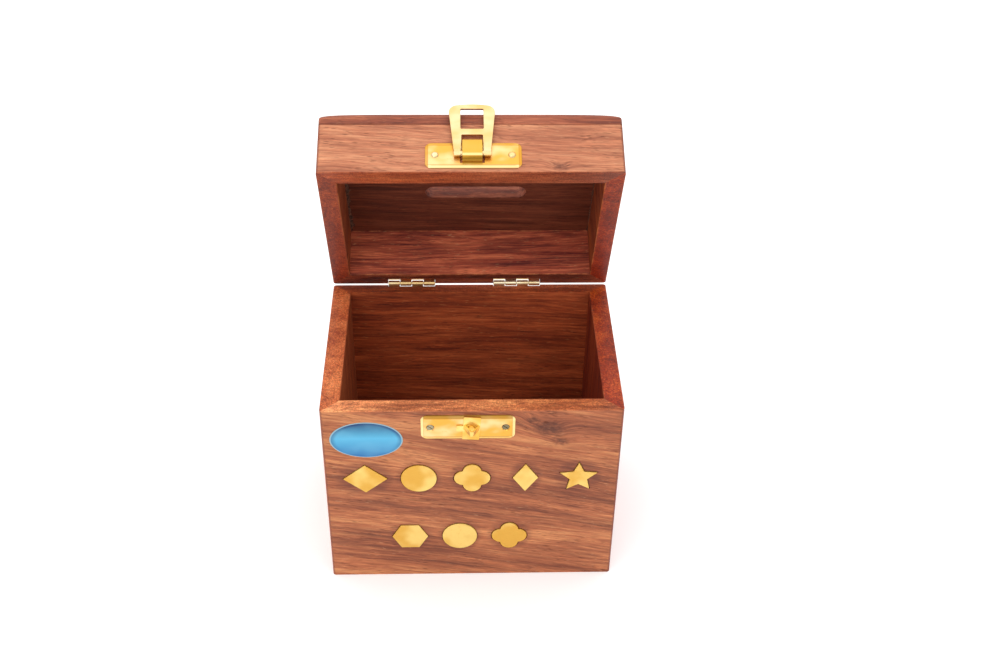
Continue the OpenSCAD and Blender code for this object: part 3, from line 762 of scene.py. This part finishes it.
def ringShape(rings):  # a closed form through rings of equal count, capped at both ends
    shape = bmesh.new()
    loops = [[shape.verts.new(p) for p in ring] for ring in rings]
    count = len(loops[0])
    for below, above in zip(loops, loops[1:]):
        for i in range(count):
            j = (i + 1) % count
            shape.faces.new((below[i], below[j], above[j], above[i]))
    shape.faces.new(list(reversed(loops[0])))
    shape.faces.new(loops[-1])
    bmesh.ops.recalc_face_normals(shape, faces=shape.faces)
    return shape


def flatShape(outline, low, high):  # an outline made thick, from low to high
    return ringShape([[(x, y, z) for x, y in outline] for z in (low, high)])


def coneShape(radii, heights, sides=40, at=(0, 0)):
    rings = []
    for r, h in zip(radii, heights):
        rings.append([(at[0] + r * math.cos(2 * math.pi * i / sides),
                       at[1] + r * math.sin(2 * math.pi * i / sides), h) for i in range(sides)])
    return ringShape(rings)


def carve(shape, cutters):  # returns the shape less its cutters, as a mesh
    body = addObject("carving", toMesh("carving", shape), Matrix.Identity(4), None)
    tools = []
    for cutter in cutters:
        tool = addObject("cutter", toMesh("cutter", cutter), Matrix.Identity(4), None)
        cut = body.modifiers.new("cut", "BOOLEAN")
        cut.operation = "DIFFERENCE"
        cut.solver = "EXACT"
        cut.object = tool
        tools.append(tool)
    bpy.context.view_layer.update()
    graph = bpy.context.evaluated_depsgraph_get()
    result = bpy.data.meshes.new_from_object(body.evaluated_get(graph))
    for spare in [body] + tools:
        bpy.data.objects.remove(spare)
    return result


def boxShape(low, high):
    x0, y0, z0 = low
    x1, y1, z1 = high
    return flatShape(((x0, y0), (x1, y0), (x1, y1), (x0, y1)), z0, z1)


plateSetup = {"slope": 1.7, "lip": 0.35, "bow": 1.0, "radius": 2.4, "headRadius": 2.05,
              "shankRadius": 1.15}
strapSetup = {"metal": 0.8, "lowerRoot": 4.5, "width": 9.0, "notch": 1.1, "notchLow": 3.9,
              "notchHigh": 0.1, "ease": 0.15}
rootSink = 0.3 * mm  # how far a bent strip runs into what it stands on


def pressedPlate(width, height, thick, setup):  # a plate whose edges are pressed down
    steps = ((0.0, 0.0), (0.0, setup["lip"] * 0.6), (0.10, setup["lip"] * 0.9),
             (0.35, setup["lip"] * 1.15), (setup["slope"] * 0.85, thick / mm * 0.93),
             (setup["slope"], thick / mm * 0.985), (setup["slope"] + 0.4, thick / mm))
    rings = []
    for inset, lift in steps:
        i = inset * mm
        radius = max(setup["radius"] * mm - i * 0.6, 0.5 * mm)
        outline = roundedOutline(width - 2 * i, height - 2 * i, radius, setup["bow"] * mm)
        rings.append([(x, y, lift * mm) for x, y in outline])
    return ringShape(rings)


def makeStaplePlate():
    node = "staple_plate"
    low, high = shutBox(node)
    centre = (low + high) / 2
    thick = high.y - low.y
    shape = pressedPlate(high.x - low.x, high.z - low.z, thick, plateSetup)
    screwLow, screwHigh = shutBox("staple_plate_screws")
    head = plateSetup["headRadius"] * mm
    shank = plateSetup["shankRadius"] * mm
    cutters = []
    for x in (screwLow.x + head, screwHigh.x - head):
        radii = (shank, shank, head, head + 0.1 * mm)
        heights = (-1 * mm, thick - 0.9 * mm, thick, thick + 0.1 * mm)
        cutters.append(coneShape(radii, heights, at=(x - centre.x, 0)))
    mesh = toMesh(node + "_brass", toShape(carve(shape, cutters)), 28)
    place = frontFrame @ Matrix.Translation((centre.x, centre.z, 0))

    def paintShading(colour, here):
        return pressedEdgeShading(colour, here, boxPlateSlopeLight, high.x - low.x, high.z - low.z)

    finish = metalMaterial("box_plate", brassLooks["plate"], paintShading)
    settle(addObject(node + "_brass", mesh, place, finish), node)


def touchPoint(p, c, r, side):  # where a line from p touches a circle
    d = (c - p).length
    a = math.atan2(p.y - c.y, p.x - c.x) + side * math.acos(r / d)
    return c + r * Vector((math.cos(a), math.sin(a)))


def archPath(left, right, height, radius, steps=14):  # from (-left, 0) over a circle to (right, 0)
    a, b, c = Vector((-left, 0)), Vector((right, 0)), Vector((0, height))
    first, last = touchPoint(a, c, radius, -1), touchPoint(b, c, radius, 1)
    start = math.atan2(first.y - c.y, first.x - c.x)
    end = math.atan2(last.y - c.y, last.x - c.x)
    if end > start:
        end -= 2 * math.pi
    arc = [c + radius * Vector((math.cos(start + (end - start) * i / steps),
                                math.sin(start + (end - start) * i / steps)))
           for i in range(steps + 1)]
    return [a] + arc + [b]


def strapPath(down, up, height):  # over the hasp's bar, with its corners cut round twice
    places = [(-down - 0.4 * mm, 0), (-down, 0.12 * height), (-down + 0.35 * mm, 0.25 * height),
              (-down + 0.4 * mm, 0.52 * height), (-down + 1.1 * mm, 0.78 * height),
              (-down + 2.4 * mm, 0.94 * height), (-0.8 * mm, height), (1.5 * mm, height),
              (up - 1.6 * mm, 0.95 * height), (up - 0.6 * mm, 0.82 * height),
              (up, 0.55 * height), (up, 0)]
    path = [Vector(place) for place in places]
    for _ in range(2):
        cut = [path[0]]
        for a, b in zip(path, path[1:]):
            cut += [a * 0.75 + b * 0.25, a * 0.25 + b * 0.75]
        path = cut + [path[-1]]
    return path


def bandShape(path, thick, width, ease):  # a strip of metal bent along a path in x and y
    count = len(path)
    outer, inner = [], []
    for i, p in enumerate(path):
        step = (path[min(i + 1, count - 1)] - path[max(i - 1, 0)]).normalized()
        away = Vector((-step.y, step.x))
        outer.append(p)
        inner.append(p - away * thick)
    shape = bmesh.new()
    sides = []
    for z in (-width / 2, width / 2):
        sides.append([shape.verts.new((p.x, p.y, z)) for p in outer + inner[::-1]])
    ring = len(sides[0])
    for i in range(ring):
        j = (i + 1) % ring
        shape.faces.new((sides[0][i], sides[0][j], sides[1][j], sides[1][i]))
    for side in sides:
        for i in range(count - 1):
            shape.faces.new((side[i], side[i + 1], side[ring - 2 - i], side[ring - 1 - i]))
    bmesh.ops.recalc_face_normals(shape, faces=shape.faces)
    easeEdges(shape, sharpEdges(shape, 60), ease, 3)
    return shape


def joinShapes(shapes):
    whole = bmesh.new()
    for shape in shapes:
        mesh = toMesh("part", shape)
        whole.from_mesh(mesh)
        bpy.data.meshes.remove(mesh)
    return whole


def makeHaspPlate():
    node = "hasp_plate"
    low, high = shutBox(node)
    centre = (low + high) / 2
    thick = strapSetup["metal"] * mm
    pinLow, pinHigh = shutBox("hasp_plate_pins")
    shape = pressedPlate(high.x - low.x, high.z - low.z, thick, plateSetup)
    hx, hz = pivotShut.x - centre.x, pivotShut.z - centre.z
    half = strapSetup["width"] * mm / 2
    cutters = []
    for side in (-1, 1):
        near, far = hx + side * half, hx + side * (half + strapSetup["notch"] * mm)
        cutters.append(boxShape((min(near, far), hz - strapSetup["notchLow"] * mm, -1 * mm),
                                (max(near, far), hz - strapSetup["notchHigh"] * mm, 2 * mm)))
    head = (pinHigh.z - pinLow.z) / 2
    shank = plateSetup["shankRadius"] * mm
    for x in (pinLow.x + head, pinHigh.x - head):
        cutters.append(coneShape((shank, shank), (-1 * mm, 2 * mm), at=(x - centre.x, 0)))
    path = strapPath(strapSetup["lowerRoot"] * mm, high.z - pivotShut.z,
                     frontY - low.y - thick + rootSink)
    strap = bandShape(path, thick, strapSetup["width"] * mm, strapSetup["ease"] * mm)
    # path x is up the lid, path y is out of it, and the band's width lies across
    stand = Matrix(((0, 0, 1, hx), (1, 0, 0, hz), (0, 1, 0, thick - rootSink), (0, 0, 0, 1)))
    bmesh.ops.transform(strap, matrix=stand, verts=strap.verts)
    mesh = toMesh(node + "_brass", joinShapes([toShape(carve(shape, cutters)), strap]), 28)
    place = lidTurn @ frontFrame @ Matrix.Translation((centre.x, centre.z, 0))

    def paintShading(colour, here):
        edged = pressedEdgeShading(colour, here, lidPlateSlopeLight, high.x - low.x, high.z - low.z)
        return strapLightAndShade(edged, here)

    finish = metalMaterial("lid_plate", brassLooks["plate"], paintShading)
    settle(addObject(node + "_brass", mesh, place, finish), node)


makeStaplePlate()
makeHaspPlate()

stapleSetup = {"metal": 0.7, "band": 0.9, "bandHeight": 2.6, "nose": 1.2, "lift": 0.8,
               "footWidth": 8.0, "footHeight": 13.4, "footCorner": 0.5,
               "earWidth": 3.0, "earHeight": 3.6, "earDrop": 0.4, "earCorner": 0.6,
               "ease": 0.12, "bandEase": 0.2, "fit": 0.05, "askew": -4}


def makeStaple():
    node = "staple"
    s = stapleSetup
    pivot = Vector(joints["staple_swivel"]["pos_m"])
    low, high = shutBox(node)
    out = frontY - low.y
    plateThick = frontY - shutBox("staple_plate")[0].y
    under = plateThick + s["fit"] * mm
    over = plateThick + s["metal"] * mm
    outline = roundedOutline(s["footWidth"] * mm, s["footHeight"] * mm, s["footCorner"] * mm, steps=4)
    foot = flatShape(outline, under, over)
    easeEdges(foot, sharpEdges(foot, 60), s["ease"] * mm, 2)
    earX = -(s["footWidth"] / 2 + s["earWidth"] / 2 - 0.3) * mm
    outline = roundedOutline((s["earWidth"] + 0.6) * mm, s["earHeight"] * mm, s["earCorner"] * mm,
                             steps=4)
    ear = flatShape([(x + earX, y - s["earDrop"] * mm) for x, y in outline],
                    under, over - 0.05 * mm)
    easeEdges(ear, sharpEdges(ear, 60), s["ease"] * mm, 2)
    half = s["footWidth"] / 2 * mm
    path = archPath(half, half, out - s["nose"] * mm - over + rootSink, s["nose"] * mm)
    eye = bandShape(path, s["band"] * mm, s["bandHeight"] * mm, s["bandEase"] * mm)
    # path y is out of the box and the band's width lies upright
    lay = Matrix(((1, 0, 0, 0), (0, 0, 1, s["lift"] * mm), (0, 1, 0, over - rootSink),
                  (0, 0, 0, 1)))
    bmesh.ops.transform(eye, matrix=lay, verts=eye.verts)
    whole = joinShapes([foot, ear, eye])
    bmesh.ops.recalc_face_normals(whole, faces=whole.faces)
    askew = Matrix.Rotation(math.radians(s["askew"]), 4, "Z")
    place = frontFrame @ Matrix.Translation((pivot.x, pivot.z, 0)) @ askew
    mesh = toMesh(node + "_brass", whole, 30)
    settle(addObject(node + "_brass", mesh, place, metals["staple"]), node)


makeStaple()

haspSetup = {"metal": 1.2, "footWidth": 16.8, "endWidth": 21.3, "length": 27.4, "corner": 4.0,
             "windowWidth": 10.6, "windowEnd": 24.8, "windowLength": 11.3, "cross": 3.3,
             "legGap": 9.8, "bar": 1.35, "arch": 0.5, "ease": 0.22, "slotCorner": 0.5,
             "footBack": 1.5, "footUp": 2.1, "footUnder": 0.3, "footOver": 1.15,
             "footSpread": 0.2, "footEase": 0.3}


def haspOutline(s):
    half, far, r = s["endWidth"] / 2, s["length"], s["corner"]
    points = [(-s["footWidth"] / 2, 0.4), (s["footWidth"] / 2, 0.4)]
    points += [(half, far - r - 0.5)]
    for i in range(1, 9):
        a = math.radians(90 * i / 8)
        points.append((half - r + r * math.cos(a), far - r - s["arch"] + r * math.sin(a)))
    reach = half - r
    for i in range(1, 12):  # the free end arches outwards
        x = reach - 2 * reach * i / 12
        points.append((x, far - s["arch"] * (x / reach) ** 2))
    for i in range(0, 8):
        a = math.radians(90 + 90 * i / 8)
        points.append((-half + r + r * math.cos(a), far - r - s["arch"] + r * math.sin(a)))
    points += [(-half, far - r - 0.5)]
    return [(x * mm, y * mm) for x, y in points]


def makeHasp():
    node = "hasp"
    s = haspSetup
    half = s["metal"] / 2 * mm
    side = s["footWidth"] / 2 * mm
    leg = s["legGap"] / 2 * mm
    corner = s["slotCorner"] * mm
    sheet = flatShape(haspOutline(s), -half, half)
    window = roundedOutline(s["windowWidth"] * mm, s["windowLength"] * mm, corner, steps=3)
    middle = (s["windowEnd"] - s["windowLength"] / 2) * mm
    through = 10 * mm
    upper = flatShape([(x, y + middle) for x, y in window], -through, through)
    crossLow = s["windowEnd"] - s["windowLength"] - s["cross"]
    between = roundedOutline(s["legGap"] * mm, (crossLow + 4) * mm, corner, steps=3)
    lower = flatShape([(x, y + (crossLow - 4) / 2 * mm) for x, y in between], -through, through)
    body = toShape(carve(sheet, [upper, lower]))
    bmesh.ops.dissolve_limit(body, angle_limit=math.radians(0.5), verts=body.verts,
                             edges=body.edges)
    easeEdges(body, sharpEdges(body, 50), s["ease"] * mm, 3)
    bar = coneShape((s["bar"] * mm,) * 2, (-side, side), 28)
    bmesh.ops.transform(bar, matrix=Matrix.Rotation(math.radians(90), 4, "Y"), verts=bar.verts)
    feet = []
    for way in (-1, 1):
        x0, x1 = sorted((way * leg, way * side))
        foot = boxShape((x0, -s["footBack"] * mm, -s["footUnder"] * mm),
                        (x1 + s["footSpread"] * way * mm, s["footUp"] * mm, s["footOver"] * mm))
        easeEdges(foot, sharpEdges(foot, 60), s["footEase"] * mm, 3)
        feet.append(foot)
    mesh = toMesh(node + "_brass", joinShapes([body, bar] + feet), 32)
    place = lidTurn @ frontFrame @ Matrix.Translation(
        (pivotShut.x, pivotShut.z, frontY - pivotShut.y))
    settle(addObject(node + "_brass", mesh, place, metals["hasp"]), node)


makeHasp()
print("brass fittings made")


def makeLabel():
    node = "label"
    low, high = shutBox(node)
    centre = (low + high) / 2
    length, height, thick = high.x - low.x, high.z - low.z, high.y - low.y
    rings = []
    turns = [2 * math.pi * i / 96 for i in range(96)]
    for inset, lift in ((0, 0), (0, 0.5), (0.3 * mm, 0.9), (0.9 * mm, 1.0)):
        rings.append([((length / 2 - inset) * math.cos(a), (height / 2 - inset) * math.sin(a),
                       lift * thick) for a in turns])
    mesh = toMesh(node + "_oval", ringShape(rings), 50)
    place = frontFrame @ Matrix.Translation((centre.x, centre.z, 0))
    finish = labelMaterial(labelLook, length, height)
    settle(addObject(node + "_oval", mesh, place, finish), node)


glueBeads = {  # side: seed, width in mm, share of the corner that it fills
    "left": (3, 2.1, 1.0),
    "right": (8, 0.8, 0.5),
}


def makeGlueBead(side, seed, width, fill, stuff):  # squeezed-out glue and sawdust under the top board
    rng = random.Random(seed)
    low, high = shutBox("lid_%s_rail" % side)
    front, back = shutBox("lid_front_rail")[1].y, shutBox("lid_back_rail")[0].y
    wallX = high.x if side == "left" else low.x
    inward = 1 if side == "left" else -1
    ceiling = shutBox("lid_top_board")[0].z
    rings = []
    steps = 70
    for i in range(steps + 1):
        y = front + (back - front) * i / steps
        n = noise.noise(Vector((i * 0.21, seed, 0)))
        spike = rng.random() ** 5
        size = max(0.12, width * (0.5 + 0.7 * n + 0.9 * spike * fill)) * mm
        drop = size * (0.7 + 0.5 * rng.random())
        ring = []
        for k in range(7):
            a = math.pi / 2 * k / 6
            bulge = 0.62 + 0.22 * rng.random()
            ring.append((wallX + inward * (size * math.sin(a) * bulge if k < 6 else size), y,
                         ceiling - (drop * math.cos(a) * bulge if k > 0 else drop)))
        ring.append((wallX - inward * 0.1 * mm, y, ceiling + 0.1 * mm))
        rings.append(ring)
    mesh = toMesh("glue_bead_" + side, ringShape(rings), 80)
    bead = addObject("glue_bead_" + side, mesh, lidTurn, stuff)
    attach(bead, "lid")


makeLabel()
driedGlue = glueMaterial(glueLook)
for side, (seed, width, fill) in glueBeads.items():
    makeGlueBead(side, seed, width, fill, driedGlue)
print("label and glue made")

stageSetup = {"floor": (246, 246, 246), "floorHalf": 4, "glow": 0.2, "world": 0.72}
panels = {  # metres and watts
    "overhead": {"place": (0, 0, 1.6), "size": 4.0, "power": 39.207, "aim": (0, 0, 0)},
    "key": {"place": (-0.5, -1.0, 1.0), "size": 0.5, "power": 1.2, "aim": (0, 0, 0.1)},
}


def addPanel(name, place, size, power, aim):
    light = bpy.data.lights.new(name, "AREA")
    light.shape = "SQUARE"
    light.size = size
    light.energy = power
    lamp = bpy.data.objects.new(name, light)
    scene.collection.objects.link(lamp)
    lamp.location = place
    lamp.rotation_euler = (Vector(aim) - Vector(place)).to_track_quat("-Z", "Y").to_euler()


def makeStage(setup):
    reach = setup["floorHalf"]
    slab = boxShape((-reach, -reach, -20 * mm), (reach, reach, -0.2 * mm))
    material, shader, place = newMaterial("floor_paper")
    tooth = place.scaled(600, 600, 600).noise(2, 0.5)
    plug(shader, Base_Color=rgb(*setup["floor"]) + (1,), Roughness=0.9, Specular_IOR_Level=0.2,
         Emission_Color=(1, 1, 1, 1), Emission_Strength=setup["glow"],
         Normal=bumped(tooth, 0.05, 0.0001))
    floor = addObject("floor", toMesh("floor", slab), Matrix.Identity(4), material)
    world = bpy.data.worlds.new("studio")
    world.use_nodes = True
    background = world.node_tree.nodes["Background"]
    background.inputs[0].default_value = (1.0, 1.0, 1.0, 1)
    background.inputs[1].default_value = setup["world"]
    scene.world = world
    for name, panel in panels.items():
        addPanel(name, **panel)
    scene.view_settings.view_transform = "Standard"


makeStage(stageSetup)
